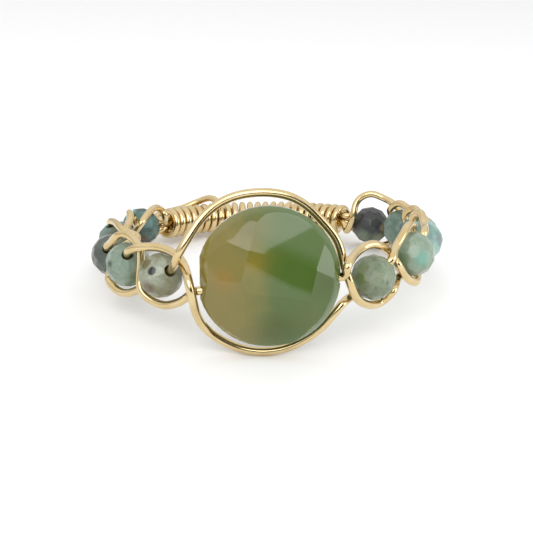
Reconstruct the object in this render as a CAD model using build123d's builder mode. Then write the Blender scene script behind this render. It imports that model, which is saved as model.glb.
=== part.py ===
"""Wire-wrapped gemstone ring: one faceted coin bead, eleven faceted round beads,
three wires braided round and through them, and a bound back."""

import math
import os

from build123d import *

# Driving sizes, in millimetres. The ring's own plane is z = 0, its front is -Y
# and the finger goes through along Z.
FINGER_DIAMETER = 18.0
WIRE_DIAMETER = 0.5
WIRE_CLEARANCE = 0.04
BEAD_DIAMETER = 2.75
BEAD_HOLE = 0.68
COIN_DIAMETER = 7.95
COIN_THICKNESS = 3.3
COIN_GIRDLE = 0.4
COIN_HOLE = 0.72
COIN_FLAT = 3.8
COIN_STAND_OFF = 0.1
COIN_LIFT = 0.25
COIN_HOLE_DROP = 0.42
WRAP_WIRE = 0.5
WRAP_CLEARANCE = 0.06
WIRE_END_GAP = 0.1

# Shape counts and directions.
BEAD_SIDES = 12
BEAD_LATITUDES = (-68, -41, -14, 14, 41, 68)
COIN_SIDES = 44
COIN_BEVEL_ANGLE = 57
COIN_HOLE_RISE = 0.1
WRAP_POINTS_PER_TURN = 6
BUNDLE_STEP_DEGREES = 8
ARC_SHARE = 0.45
REST_FRONT_ANGLE = 60
REST_ROUNDS = 12

# One row for each stone, in the order in which the wires reach it:
# name, gap to the neighbour nearer the coin (in wire lanes), lift and stand-off (in
# bead diameters), size (in bead diameters), slack of the wire over it and under it
# (in wire diameters), and the way its hole looks outward and upward.
STONES = (
    ("bead_right_6", 1.28, -0.10, 0.145, 1.00, 1.50, 0.12, -0.30, 0.30),
    ("bead_right_5", 1.26, 0.02, 0.100, 0.99, 0.12, 0.12, 0.30, 0.70),
    ("bead_right_4", 1.51, 0.08, 0.000, 0.98, 0.30, 0.12, 0.45, 0.50),
    ("bead_right_3", 1.40, 0.21, -0.073, 0.95, 0.24, 0.12, 0.15, 0.50),
    ("bead_right_2", 2.10, 0.14, 0.000, 1.00, 0.16, 0.12, 0.28, 0.83),
    ("bead_right_1", 2.05, -0.13, 0.000, 0.96, 0.84, 0.12, 0.40, 0.70),
    ("coin_bead", 0.0, 0.0, 0.0, 0.0, 0.0, 0.0, 0.0, COIN_HOLE_RISE),
    ("bead_left_1", 2.47, -0.10, 0.000, 0.95, 0.44, 0.28, 0.30, 0.40),
    ("bead_left_2", 1.09, -0.06, 0.000, 0.99, 0.20, 0.12, 0.36, 0.62),
    ("bead_left_3", 1.54, -0.11, 0.000, 0.98, 0.24, 0.12, 0.30, 0.50),
    ("bead_left_4", 1.86, -0.045, 0.000, 0.96, 0.24, 0.12, 0.25, 0.90),
    ("bead_left_5", 2.02, 0.05, 0.000, 0.98, 0.30, 0.12, -0.40, 0.20),
)
COIN_PLACE = [row[0] for row in STONES].index("coin_bead")

# The three wires take turns: over a stone, through the next, under the one after it.
# The first stone that each wire meets, it passes so.
TURNS = ("over", "through", "under")
STRANDS = {"strand_a": "over", "strand_b": "under", "strand_c": "through"}

# Where the wires pass between two stones: out (wire diameters), up (bead radii) and
# along the ring (wire diameters) from the middle of the gap. The wire on its way into
# a hole passes outside, the one out of a hole inside, the one that rises between them.
WAY_IN = {"over": ("low", "high"), "through": ("outer",), "under": ("inner",)}
USUAL_GAP = {
    "outer": ((1.16, 0.80, 0.0),),
    "low": ((0.56, -0.55, 0.0),),
    "high": ((-0.34, 0.69, 0.0),),
    "inner": ((-1.00, -0.69, 0.2),),
}
GAPS_AFTER = {
    "bead_right_6": {
        "outer": ((0.65, 1.34, 0.33),),
        "low": ((2.80, -0.85, 0.00),),
        "high": ((0.24, 0.82, 0.54),),
        "inner": (),
    },
    "bead_right_5": {"outer": ((0.80, 0.80, 0.00),), "high": ((-0.80, 0.60, 0.00),)},
    "bead_right_4": {"outer": ((0.70, 0.84, 0.14),), "high": ((-0.60, 0.60, 0.00),)},
    "bead_right_3": {
        "outer": ((0.76, 0.90, -0.36),),
        "low": ((1.05, -0.36, 0.15),),
        "high": ((-0.80, 0.75, -0.35),),
        "inner": ((-0.90, -1.00, 0.40),),
    },
    "bead_right_2": {
        "outer": ((0.66, 0.80, 0.65),),
        "low": ((1.34, 0.17, 0.80),),
        "high": ((-0.67, 0.54, -0.18),),
        "inner": ((-0.16, -0.70, -1.14),),
    },
    "bead_right_1": {
        "outer": ((2.12, 0.71, 1.67),),
        "low": ((0.58, 0.01, 0.59),),
        "high": ((-0.47, 0.45, 0.61),),
        "inner": ((-1.11, -1.08, -0.06),),
    },
    "coin_bead": {
        "outer": ((1.46, 1.54, -0.90), (1.93, 0.91, -0.03)),
        "low": ((2.68, -0.24, -2.16),),
        "high": ((0.19, 0.49, -0.11),),
        "inner": ((-1.20, -0.84, 0.00),),
    },
    "bead_left_1": {
        "outer": ((1.52, 0.95, 0.37),),
        "low": ((0.76, -0.45, 0.08),),
        "high": ((0.40, 0.58, 0.00),),
        "inner": (),
    },
    "bead_left_2": {
        "low": ((1.50, -0.80, 0.50),),
        "high": ((-0.10, 0.62, 0.00),),
        "outer": ((1.13, 0.74, 0.24),),
    },
    "bead_left_3": {"high": ((-1.29, 0.85, 0.29),), "outer": ((-0.15, 1.21, 0.26),)},
    "bead_left_4": {
        "high": ((-2.18, 0.60, -0.79),),
        "inner": ((-1.00, -1.25, 0.20),),
        "outer": ((-0.23, 0.91, 0.74),),
    },
}

# Arches over and under a bead. A row for each corner: angle from the side toward the
# next stone, reach as a share of the usual one, and outward (wire diameters).
ARCH_HALF_STEP = 22.5
USUAL_ARCH = {
    "over": ((135, 1.00, -0.2), (90, 1.00, 0.0), (45, 1.00, 0.2)),
    "under": ((135, 1.00, -0.2), (90, 1.00, 0.0), (45, 1.00, 0.3)),
}
ARCHES = {
    "bead_right_6": {
        "over": ((115, 0.28, -3.37), (104, 0.78, -2.44), (82, 1.02, -1.19), (61, 0.98, -0.05)),
        "under": ((135, 1.00, 1.80), (90, 1.00, 2.00), (45, 1.00, 2.30)),
    },
    "bead_right_5": {"over": ((124, 0.90, -0.92), (94, 1.07, -0.50), (60, 1.02, -0.20))},
    "bead_right_4": {"over": ((128, 0.90, -1.68), (93, 1.04, -0.82), (61, 0.99, -0.55))},
    "bead_right_3": {"over": ((129, 0.91, -1.73), (94, 1.05, -0.28), (56, 0.93, 0.21))},
    "bead_right_2": {
        "over": ((112, 0.93, -0.43), (78, 1.06, -0.17), (49, 1.12, 0.08)),
        "under": ((132, 0.97, -0.19), (96, 1.00, 0.66), (61, 0.92, 0.54), (37, 0.90, 0.25)),
    },
    "bead_right_1": {
        "over": ((109, 0.87, 0.09), (82, 0.96, 0.06), (50, 1.06, 0.34)),
        "under": ((143, 0.80, 1.20), (124, 1.19, -0.72), (87, 0.99, -0.09), (27, 1.17, 1.25)),
    },
    "bead_left_1": {
        "over": ((127, 0.94, -0.14), (82, 0.87, -0.13), (52, 1.06, 0.93)),
        "under": ((135, 1.10, 0.00), (90, 1.03, 0.00), (45, 1.00, 0.64)),
    },
    "bead_left_2": {
        "over": ((135, 1.16, 0.00), (90, 1.03, 0.00), (71, 0.99, 0.76)),
        "under": ((135, 1.05, -0.10), (90, 1.03, 0.90), (45, 1.05, 1.40)),
    },
    "bead_left_3": {"over": ((110, 0.62, -3.70), (85, 0.79, -1.76), (74, 0.90, -1.18))},
    "bead_left_4": {
        "over": ((128, 0.84, -2.01), (89, 0.92, -1.94), (66, 1.11, -1.21)),
        "under": ((135, 1.00, 0.20), (90, 1.00, 0.60), (45, 1.00, 0.90)),
    },
    "bead_left_5": {
        "over": ((130, 0.77, -2.36), (77, 0.81, -2.03), (33, 1.03, -1.43)),
        "under": ((135, 1.00, 1.60), (90, 1.00, 2.00), (45, 1.00, 1.80)),
    },
}
# Arches round the coin: angle from its left, distance from its edge (wire diameters)
# and how far behind its middle the wire lies (share of the coin's thickness).
COIN_ARCHES = {
    "over": (
        (156, 0.66, 0.28), (140, 0.47, 0.29), (113, 1.17, 0.28), (90, 1.37, 0.24),
        (65, 1.80, 0.24), (44, 1.95, 0.21),
    ),
    "under": (
        (149, 0.90, 0.27), (129, 1.03, 0.29), (105, 1.25, 0.27), (84, 1.46, 0.24),
        (63, 1.63, 0.21), (37, 1.93, 0.17),
    ),
}

# Between the last bead at each side and the bound back: distance along the ring from
# that bead's middle (bead diameters), out and up from the bundle (wire diameters).
LEAVING = {
    "strand_a": ((0.45, -1.50, -1.80),),
    "strand_b": ((0.56, 1.80, -1.80),),
    "strand_c": (),
}
JOINING = {
    "strand_a": ((0.60, 1.20, -1.60),),
    "strand_b": ((0.62, 1.20, 0.50),),
    "strand_c": ((0.645, -1.39, 1.53),),
}
BUNDLE_START = 0.62
BUNDLE_END = 0.78
BUNDLE_ANGLES = {"strand_a": 210, "strand_b": 330, "strand_c": 90}
BUNDLE_TWIST = 75
MEETING_SHIFT = {"strand_a": -2.4, "strand_b": 0.0, "strand_c": 2.4}

# The last stretch of the binding wire, laid over the turns: distance back from the
# binding's end (binding wire diameters) and angle round the bundle.
WRAP_TAIL = ((0.6, 15), (2.6, 20), (5.0, 25), (7.0, 45), (8.3, 85), (8.8, 130))
WRAP_MARGIN = 0.36

# Facets of the coin's face: height at its middle, rise to the right and rise upward,
# all as shares of half its thickness.
COIN_FACETS = (
    (0.92, -0.20, -0.09),
    (1.63, 0.60, -1.19),
    (1.30, -0.18, -0.90),
    (1.53, -0.89, -0.81),
    (1.33, 0.89, -0.35),
    (1.46, -1.07, 0.11),
    (1.71, -0.27, -1.41),
    (2.14, 0.43, -1.85),
    (1.06, -0.07, 0.72),
    (1.33, 0.92, 0.61),
    (1.55, -0.92, 0.73),
    (1.57, -0.05, 1.50),
    (1.88, 0.73, 1.45),
    (1.95, -0.73, 1.50),
    (2.05, 1.45, -1.09),
    (2.07, -1.09, -1.50),
    (1.80, -1.43, -0.53),
    (3.78, 3.88, 0.0),
)

# Values worked out from the driving sizes.
WIRE_RADIUS = WIRE_DIAMETER / 2
WIRE_LANE = WIRE_DIAMETER + 2 * WIRE_CLEARANCE
BEAD_RADIUS = BEAD_DIAMETER / 2
BEAD_CIRCLE = FINGER_DIAMETER / 2 + BEAD_RADIUS
COIN_RADIUS = COIN_DIAMETER / 2
HOLE_REACH = 0.6 * WIRE_DIAMETER
BUNDLE_RADIUS = (WIRE_DIAMETER + WIRE_CLEARANCE) / math.sqrt(3)
WRAP_RADIUS = BUNDLE_RADIUS + WIRE_RADIUS + WRAP_WIRE / 2 + WRAP_CLEARANCE
BUNDLE_CIRCLE = FINGER_DIAMETER / 2 + WRAP_RADIUS + WRAP_WIRE / 2
UP = Vector(0, 0, 1)


def directions(angle):
    """Leftward along the ring, and outward, at an angle counted from the front to the right."""
    turn = math.radians(angle)
    along = Vector(-math.cos(turn), -math.sin(turn), 0)
    out = Vector(math.sin(turn), -math.cos(turn), 0)
    return along, out


def arc_degrees(length):
    """Angle that a length takes up on the circle through the beads' middles."""
    return math.degrees(length / BEAD_CIRCLE)


class Stone:
    """A stone's place in the ring's plane: middle, radius, directions and hole axis."""

    def __init__(self, row, angle):
        name, _, lift, stand_off, size, over, under, hole_out, hole_up = row
        self.name = name
        self.angle = angle
        self.is_coin = name == "coin_bead"
        self.along, self.out = directions(angle)
        self.slack = {"over": over, "under": under}
        hole_along = -math.sqrt(1 - hole_out**2 - hole_up**2)
        self.axis = self.along * hole_along + self.out * hole_out + UP * hole_up
        if self.is_coin:
            self.radius = COIN_RADIUS
            self.depth = COIN_THICKNESS / 2
            distance = FINGER_DIAMETER / 2 + self.depth + COIN_STAND_OFF
            self.middle = self.out * distance + UP * COIN_LIFT
            self.hole_middle = self.middle - UP * COIN_HOLE_DROP
        else:
            self.radius = BEAD_RADIUS * size
            self.depth = self.radius
            distance = BEAD_CIRCLE + BEAD_DIAMETER * stand_off
            self.middle = self.out * distance + UP * (BEAD_DIAMETER * lift)
            self.hole_middle = self.middle
        self.reach = self.radius + HOLE_REACH


def stones_round_the_ring():
    """Walks outward from the coin on both sides, and keeps the table's order."""
    placed = {COIN_PLACE: Stone(STONES[COIN_PLACE], 0.0)}
    for step, sign in ((-1, 1), (1, -1)):
        place = COIN_PLACE + step
        angle = arc_degrees(COIN_RADIUS)
        while 0 <= place < len(STONES):
            half = arc_degrees(BEAD_RADIUS * STONES[place][4])
            angle += arc_degrees(STONES[place][1] * WIRE_LANE) + half
            placed[place] = Stone(STONES[place], sign * angle)
            angle += half
            place += step
    return [placed[place] for place in sorted(placed)]


def gap_points(before, after, wire):
    """Corners of a wire in the gap between two stones."""
    start = before.middle + before.along * before.radius if before.is_coin else before.middle
    end = after.middle - after.along * after.radius if after.is_coin else after.middle
    reach_before = 0 if before.is_coin else before.radius
    reach_after = 0 if after.is_coin else after.radius
    line = end - start
    gap = line.length - reach_before - reach_after
    middle = start + line.normalized() * (reach_before + gap / 2)
    along, out = directions(math.degrees(math.atan2(middle.X, -middle.Y)))
    rows = GAPS_AFTER.get(before.name, {}).get(wire, USUAL_GAP[wire])
    return [
        middle + out * (o * WIRE_DIAMETER) + UP * (u * BEAD_RADIUS) + along * (a * WIRE_DIAMETER)
        for o, u, a in rows
    ]


def arch_points(stone, side):
    """Corners of a wire's arch over or under a stone."""
    sign = 1 if side == "over" else -1
    points = []
    if stone.is_coin:
        for angle, standing, behind in COIN_ARCHES[side]:
            turn = math.radians(angle)
            reach = stone.radius + standing * WIRE_DIAMETER
            flat = stone.along * math.cos(turn) + UP * (sign * math.sin(turn))
            points.append(stone.middle + flat * reach - stone.out * (behind * COIN_THICKNESS))
        return points
    usual = stone.radius + WIRE_RADIUS + stone.slack[side] * WIRE_DIAMETER
    corner = usual / math.cos(math.radians(ARCH_HALF_STEP))
    rows = ARCHES.get(stone.name, {}).get(side, USUAL_ARCH[side])
    for angle, share, outward in rows:
        turn = math.radians(angle)
        flat = stone.along * math.cos(turn) + UP * (sign * math.sin(turn))
        points.append(stone.middle + flat * (share * corner) + stone.out * (outward * WIRE_DIAMETER))
    return points


def bundle_point(strand, angle):
    """A wire's place in the bundle of three at the back, which twists on its way."""
    _, out = directions(angle)
    twist = BUNDLE_TWIST * (angle - BUNDLE_FROM) / (BUNDLE_TO - BUNDLE_FROM)
    turn = math.radians(BUNDLE_ANGLES[strand] + twist)
    return out * (BUNDLE_CIRCLE + BUNDLE_RADIUS * math.cos(turn)) + UP * (BUNDLE_RADIUS * math.sin(turn))


def loose_points(rows, bead_angle, sign):
    """Corners between the last bead and the bundle."""
    points = []
    for distance, outward, up in rows:
        _, out = directions(bead_angle + sign * arc_degrees(distance * BEAD_DIAMETER))
        points.append(out * (BUNDLE_CIRCLE + outward * WIRE_DIAMETER) + UP * (up * WIRE_DIAMETER))
    return points


def evenly(first, last, step):
    """Angles from first to last in steps of about the given size, both ends included."""
    count = max(1, round(abs(last - first) / step))
    return [first + (last - first) * i / count for i in range(count + 1)]


STONES_PLACED = stones_round_the_ring()
BUNDLE_FROM = STONES_PLACED[0].angle + arc_degrees(BUNDLE_START * BEAD_DIAMETER)
BUNDLE_TO = STONES_PLACED[-1].angle - arc_degrees(BUNDLE_END * BEAD_DIAMETER) + 360


def strand_points(strand):
    """All corners of one wire, from its end in the binding round the ring and back."""
    meeting = (BUNDLE_FROM + BUNDLE_TO) / 2 + arc_degrees(MEETING_SHIFT[strand] * WIRE_DIAMETER)
    half_gap = arc_degrees(WIRE_END_GAP / 2)
    points = []
    for angle in evenly(meeting - half_gap, BUNDLE_FROM, BUNDLE_STEP_DEGREES):
        points.append(bundle_point(strand, angle))
    points += loose_points(LEAVING[strand], STONES_PLACED[0].angle, 1)
    for place, stone in enumerate(STONES_PLACED):
        turn = TURNS[(place + TURNS.index(STRANDS[strand])) % len(TURNS)]
        if place > 0:
            for wire in WAY_IN[turn]:
                points += gap_points(STONES_PLACED[place - 1], stone, wire)
        if turn == "through":
            points.append(stone.hole_middle + stone.axis * stone.reach)
            points.append(stone.hole_middle - stone.axis * stone.reach)
        else:
            points += arch_points(stone, turn)
    points += loose_points(JOINING[strand], STONES_PLACED[-1].angle, -1)
    for angle in evenly(BUNDLE_TO, meeting + half_gap, BUNDLE_STEP_DEGREES):
        points.append(bundle_point(strand, angle))
    return points


def wrap_points():
    """Corners of the binding wire: tight turns round the bundle, then its tail over them."""
    first = BUNDLE_FROM + arc_degrees(WRAP_MARGIN)
    last = BUNDLE_TO - arc_degrees(WRAP_MARGIN)
    tight = (WRAP_WIRE + WRAP_CLEARANCE) * BUNDLE_CIRCLE / (BUNDLE_CIRCLE - WRAP_RADIUS)
    turns = int(math.radians(last - first) * BUNDLE_CIRCLE / tight)
    corner = WRAP_RADIUS / math.cos(math.pi / WRAP_POINTS_PER_TURN)
    count = turns * WRAP_POINTS_PER_TURN

    def at(angle, reach, round_turn):
        _, out = directions(angle)
        turn = math.radians(round_turn)
        return out * (BUNDLE_CIRCLE + reach * math.cos(turn)) + UP * (reach * math.sin(turn))

    points = []
    for i in range(count + 1):
        angle = first + (last - first) * i / count
        points.append(at(angle, corner, 360 * i / WRAP_POINTS_PER_TURN))
    over = corner + WRAP_WIRE + 2 * WRAP_CLEARANCE
    for back, round_turn in WRAP_TAIL:
        points.append(at(last - math.degrees(back * WRAP_WIRE / BUNDLE_CIRCLE), over, round_turn))
    return points


def bend_radii(points):
    """For each corner, the radius that uses the same share of its shorter run."""
    radii = []
    for before, corner, after in zip(points, points[1:], points[2:]):
        into = corner - before
        onward = after - corner
        half_turn = math.radians(into.get_angle(onward)) / 2
        radii.append(ARC_SHARE * min(into.length, onward.length) / math.tan(half_turn))
    return radii


def samples_of(points):
    """Points on a wire's middle line: both ends and the middle of every bend's arc."""
    samples = []
    for before, corner, after, radius in zip(points, points[1:], points[2:], bend_radii(points)):
        into = (corner - before).normalized()
        onward = (after - corner).normalized()
        half_turn = math.radians(into.get_angle(onward)) / 2
        inward = (onward - into).normalized()
        centre = corner + inward * (radius / math.cos(half_turn))
        across = (onward + into).normalized()
        for share in (-1, -0.5, 0, 0.5, 1):
            turn = share * half_turn
            samples.append(centre + (across * math.sin(turn) - inward * math.cos(turn)) * radius)
    return samples


def resting_normal(samples):
    """Up direction of the ring when it lies on its side, touching with three low points."""
    thirds = ([], [], [])
    for point in samples:
        angle = math.degrees(math.atan2(point.X, -point.Y))
        thirds[0 if abs(angle) < REST_FRONT_ANGLE else 1 if angle > 0 else 2].append(point)
    normal = UP
    for _ in range(REST_ROUNDS):
        front, right, left = (min(third, key=normal.dot) for third in thirds)
        normal = (right - front).cross(left - front).normalized()
    return normal


ROUTES = {strand: strand_points(strand) for strand in STRANDS}
BINDING = wrap_points()
WIRE_SAMPLES = [point for route in (*ROUTES.values(), BINDING) for point in samples_of(route)]
OUTER_FACES = [s.middle + s.out * (s.depth - WIRE_RADIUS) for s in STONES_PLACED]

# The ring lies on its side on z = 0, so its own plane leans a little. World
# directions as the ring's plane sees them, then the ring's plane in the world.
WORLD_Z = resting_normal(WIRE_SAMPLES)
WORLD_X = Vector(0, -1, 0).cross(WORLD_Z).normalized() * -1
WORLD_Y = WORLD_Z.cross(WORLD_X)
OUTLINE = [
    Vector(p.dot(WORLD_X), p.dot(WORLD_Y), p.dot(WORLD_Z)) for p in WIRE_SAMPLES + OUTER_FACES
]


def middle_of(values):
    """Halfway between the least and the most."""
    return (min(values) + max(values)) / 2


RING = Plane(
    origin=(
        -middle_of([p.X for p in OUTLINE]),
        -middle_of([p.Y for p in OUTLINE]),
        WIRE_RADIUS - min(p.Z for p in OUTLINE),
    ),
    x_dir=(WORLD_X.X, WORLD_Y.X, WORLD_Z.X),
    z_dir=(WORLD_X.Z, WORLD_Y.Z, WORLD_Z.Z),
)


def placed(points):
    """Points of the ring's plane where they lie in the world."""
    return [RING.from_local_coords(point) for point in points]


def on_ring(middle, normal, x_dir=None):
    """A plane given in the ring's own directions."""
    if x_dir is None:
        origin, above = placed((middle, middle + normal))
        return Plane(origin=origin, z_dir=above - origin)
    origin, above, beside = placed((middle, middle + normal, middle + x_dir))
    return Plane(origin=origin, x_dir=beside - origin, z_dir=above - origin)


os.makedirs("parts", exist_ok=True)

# Small beads: flat facets in rings about the hole, drilled through.
for stone in STONES_PLACED:
    if stone.is_coin:
        continue
    with BuildPart() as bead:
        for latitude in BEAD_LATITUDES:
            turn = math.radians(latitude)
            level = stone.middle + stone.axis * (stone.radius * math.sin(turn))
            with BuildSketch(on_ring(level, stone.axis, stone.axis.cross(UP))):
                RegularPolygon(stone.radius * math.cos(turn), BEAD_SIDES)
        loft(ruled=True)
        with Locations(on_ring(stone.middle, stone.axis)):
            Cylinder(BEAD_HOLE / 2, 2 * BEAD_DIAMETER, mode=Mode.SUBTRACT)
    bead.part.label = stone.name
    export_step(bead.part, f"parts/{stone.name}.step")

# Coin bead: a bevelled disc, cut by the flat facets of its face and of its back.
coin = STONES_PLACED[COIN_PLACE]
right = coin.along * -1
half_thickness = COIN_THICKNESS / 2
bevel_run = (half_thickness - COIN_GIRDLE / 2) / math.tan(math.radians(COIN_BEVEL_ANGLE))
with BuildPart() as coin_bead:
    for height, radius in (
        (-half_thickness, COIN_RADIUS - bevel_run),
        (-COIN_GIRDLE / 2, COIN_RADIUS),
        (COIN_GIRDLE / 2, COIN_RADIUS),
        (half_thickness, COIN_RADIUS - bevel_run),
    ):
        with BuildSketch(on_ring(coin.middle + coin.out * height, coin.out, right)):
            RegularPolygon(radius, COIN_SIDES)
    loft(ruled=True)
    split(bisect_by=on_ring(coin.middle - right * COIN_FLAT, right * -1), keep=Keep.BOTTOM)
    for face, sideways in ((coin.out, right), (coin.out * -1, right * -1)):
        for height, rise_right, rise_up in COIN_FACETS:
            middle = coin.middle + face * (height * half_thickness)
            slope_right = rise_right * half_thickness / COIN_RADIUS
            slope_up = rise_up * half_thickness / COIN_RADIUS
            normal = face - sideways * slope_right - UP * slope_up
            split(bisect_by=on_ring(middle, normal), keep=Keep.BOTTOM)
    with Locations(on_ring(coin.hole_middle, coin.axis)):
        Cylinder(COIN_HOLE / 2, 2 * COIN_DIAMETER, mode=Mode.SUBTRACT)
coin_bead.part.label = "coin_bead"
export_step(coin_bead.part, "parts/coin_bead.step")

# The three braided wires.
for name, route in ROUTES.items():
    with BuildPart() as strand:
        with BuildLine() as path:
            FilletPolyline(*placed(route), radius=bend_radii(route))
        with BuildSketch(Plane(path.line @ 0, z_dir=path.line % 0)):
            Circle(WIRE_RADIUS)
        sweep()
    strand.part.label = name
    export_step(strand.part, f"parts/{name}.step")
    print(name, "bend radii from", round(min(bend_radii(route)), 2))

# The wire that binds the three together at the back.
with BuildPart() as back_wrap:
    with BuildLine() as path:
        FilletPolyline(*placed(BINDING), radius=bend_radii(BINDING))
    with BuildSketch(Plane(path.line @ 0, z_dir=path.line % 0)):
        Circle(WRAP_WIRE / 2)
    sweep()
back_wrap.part.label = "back_wrap"
export_step(back_wrap.part, "parts/back_wrap.step")
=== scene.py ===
import math

import bmesh
import bpy
import numpy as np
from mathutils import Matrix


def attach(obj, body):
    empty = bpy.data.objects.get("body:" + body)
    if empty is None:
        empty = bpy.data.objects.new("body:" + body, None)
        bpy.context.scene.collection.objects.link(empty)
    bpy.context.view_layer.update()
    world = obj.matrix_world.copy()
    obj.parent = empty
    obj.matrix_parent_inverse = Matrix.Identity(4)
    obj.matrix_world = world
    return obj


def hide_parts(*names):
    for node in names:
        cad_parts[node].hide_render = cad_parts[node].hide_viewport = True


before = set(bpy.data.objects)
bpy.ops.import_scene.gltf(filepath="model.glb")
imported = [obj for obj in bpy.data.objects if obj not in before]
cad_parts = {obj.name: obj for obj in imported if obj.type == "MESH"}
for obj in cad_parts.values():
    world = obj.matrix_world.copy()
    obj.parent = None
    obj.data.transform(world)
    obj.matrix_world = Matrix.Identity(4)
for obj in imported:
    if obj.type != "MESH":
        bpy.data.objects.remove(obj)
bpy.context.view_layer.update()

# Front stone: a drilled coin bead of translucent green agate with an ochre cloud.
# It is ground flat facet by facet on a lap, then polished, so its facets are dead
# flat and only the edges between them are a little soft.
MM = 0.001
FINGER = 18.0
COIN = 7.95
COIN_THICK = 3.3
COIN_LIFT = 0.25
COIN_FROM_FINGER = 0.1
COIN_EDGE = 0.03

# How the ring lies on its side: its middle, and how far its front is propped up and
# its left side dips, since three low bends of the wires touch the floor.
RING_MIDDLE = np.array([-0.0079, 0.5443, 3.0541])
FRONT_UP = math.radians(8.781)
LEFT_DOWN = math.radians(2.856)


def lying_turn(front_up, left_down):
    """The turn from the ring's plane to the floor's: first about Y, then about X."""
    c, s = math.cos(-left_down), math.sin(-left_down)
    about_y = np.array([[c, 0, s], [0, 1, 0], [-s, 0, c]])
    c, s = math.cos(-front_up), math.sin(-front_up)
    about_x = np.array([[1, 0, 0], [0, c, -s], [0, s, c]])
    return about_x @ about_y


RING_TURN = lying_turn(FRONT_UP, LEFT_DOWN)


def lay(points):
    """Millimetres in the ring's plane (X right, -Y front, Z up) to metres in the frame."""
    return (np.asarray(points, float) @ RING_TURN.T + RING_MIDDLE) * MM


def round_the_ring(degrees):
    """Leftward and outward directions at an angle counted from the front to the right."""
    turn = np.radians(degrees)
    zero = np.zeros_like(turn)
    along = np.stack([-np.cos(turn), -np.sin(turn), zero], -1)
    out = np.stack([np.sin(turn), -np.cos(turn), zero], -1)
    return along, out


def shown(name, data):
    """A new object in the scene, at the origin."""
    thing = bpy.data.objects.new(name, data)
    bpy.context.scene.collection.objects.link(thing)
    return thing


UP = np.array([0.0, 0.0, 1.0])
coin_middle = np.array([0.0, -(FINGER / 2 + COIN_FROM_FINGER + COIN_THICK / 2), COIN_LIFT])

SAME_POINT = 0.0005 * MM
TOUCHING = 1e-8
ONE_FLAT = math.radians(1.5)
AN_EDGE = math.radians(6)


def ground_facets(node, name, edge, last_flats=()):
    """The node's own solid, ground once more along each plane (a point and a direction
    in the ring's plane), its flat facets made whole and its edges eased by `edge` mm."""
    form = bmesh.new()
    form.from_mesh(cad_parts[node].data)
    bmesh.ops.remove_doubles(form, verts=form.verts, dist=SAME_POINT)
    for point, way in last_flats:
        everything = [*form.verts, *form.edges, *form.faces]
        cut = bmesh.ops.bisect_plane(form, geom=everything, dist=TOUCHING, plane_co=lay(point),
                                     plane_no=RING_TURN @ np.array(way), clear_outer=True)
        rim = [part for part in cut["geom_cut"] if isinstance(part, bmesh.types.BMEdge)]
        bmesh.ops.edgeloop_fill(form, edges=rim)
    bmesh.ops.dissolve_limit(form, angle_limit=ONE_FLAT, verts=form.verts, edges=form.edges)
    mesh = bpy.data.meshes.new(name)
    form.to_mesh(mesh)
    form.free()
    mesh.polygons.foreach_set("use_smooth", [True] * len(mesh.polygons))
    piece = shown(name, mesh)
    eased = piece.modifiers.new("eased edges", "BEVEL")
    eased.width = edge * MM
    eased.segments = 2
    eased.limit_method = "ANGLE"
    eased.angle_limit = AN_EDGE
    eased.harden_normals = True
    return piece


def new_group(name, inputs, outputs):
    """A shader group with named sockets (name, kind and, for an input, its usual value),
    with its input and output nodes."""
    tree = bpy.data.node_groups.new(name, "ShaderNodeTree")
    for label, kind, value in inputs:
        made = tree.interface.new_socket(name=label, in_out="INPUT", socket_type=kind)
        if value is not None:
            made.default_value = value
    for label, kind in outputs:
        tree.interface.new_socket(name=label, in_out="OUTPUT", socket_type=kind)
    return tree, tree.nodes.new("NodeGroupInput"), tree.nodes.new("NodeGroupOutput")


def put_in(tree, socket, value):
    """Links a socket to another one, or sets it to a constant."""
    if isinstance(value, bpy.types.NodeSocket):
        tree.links.new(value, socket)
    else:
        socket.default_value = value


def maths(tree, kind, *operands):
    """One Math node; each operand is a socket or a number."""
    node = tree.nodes.new("ShaderNodeMath")
    node.operation = kind
    for socket, value in zip(node.inputs, operands):
        put_in(tree, socket, value)
    return node.outputs[0]


def vector_maths(tree, kind, vector, other):
    """One Vector Math node; gives a number for a distance or a dot product."""
    node = tree.nodes.new("ShaderNodeVectorMath")
    node.operation = kind
    tree.links.new(vector, node.inputs[0])
    put_in(tree, node.inputs[1], other)
    return node.outputs["Value" if kind in ("DISTANCE", "DOT_PRODUCT") else "Vector"]


def blend(tree, share, under, over):
    """Mixes two colours, each a socket or a colour, by a share."""
    node = tree.nodes.new("ShaderNodeMix")
    node.data_type = "RGBA"
    factor, colour_a, colour_b, mixed = node.inputs[0], node.inputs[6], node.inputs[7], node.outputs[2]
    put_in(tree, factor, share)
    put_in(tree, colour_a, under)
    put_in(tree, colour_b, over)
    return mixed


def ramp(tree, value, low, high, first=0.0, last=1.0):
    """A smooth step from one value to another while a socket goes from low to high."""
    node = tree.nodes.new("ShaderNodeMapRange")
    node.interpolation_type = "SMOOTHSTEP"
    tree.links.new(value, node.inputs["Value"])
    for label, given in (("From Min", low), ("From Max", high), ("To Min", first), ("To Max", last)):
        put_in(tree, node.inputs[label], given)
    return node.outputs["Result"]


def noise(tree, place, scale, detail, distortion=0.0):
    """One noise texture's value; its scale is a number or a socket."""
    node = tree.nodes.new("ShaderNodeTexNoise")
    node.inputs["Detail"].default_value = detail
    node.inputs["Distortion"].default_value = distortion
    tree.links.new(place, node.inputs["Vector"])
    put_in(tree, node.inputs["Scale"], scale)
    return node.outputs["Fac"]


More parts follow.
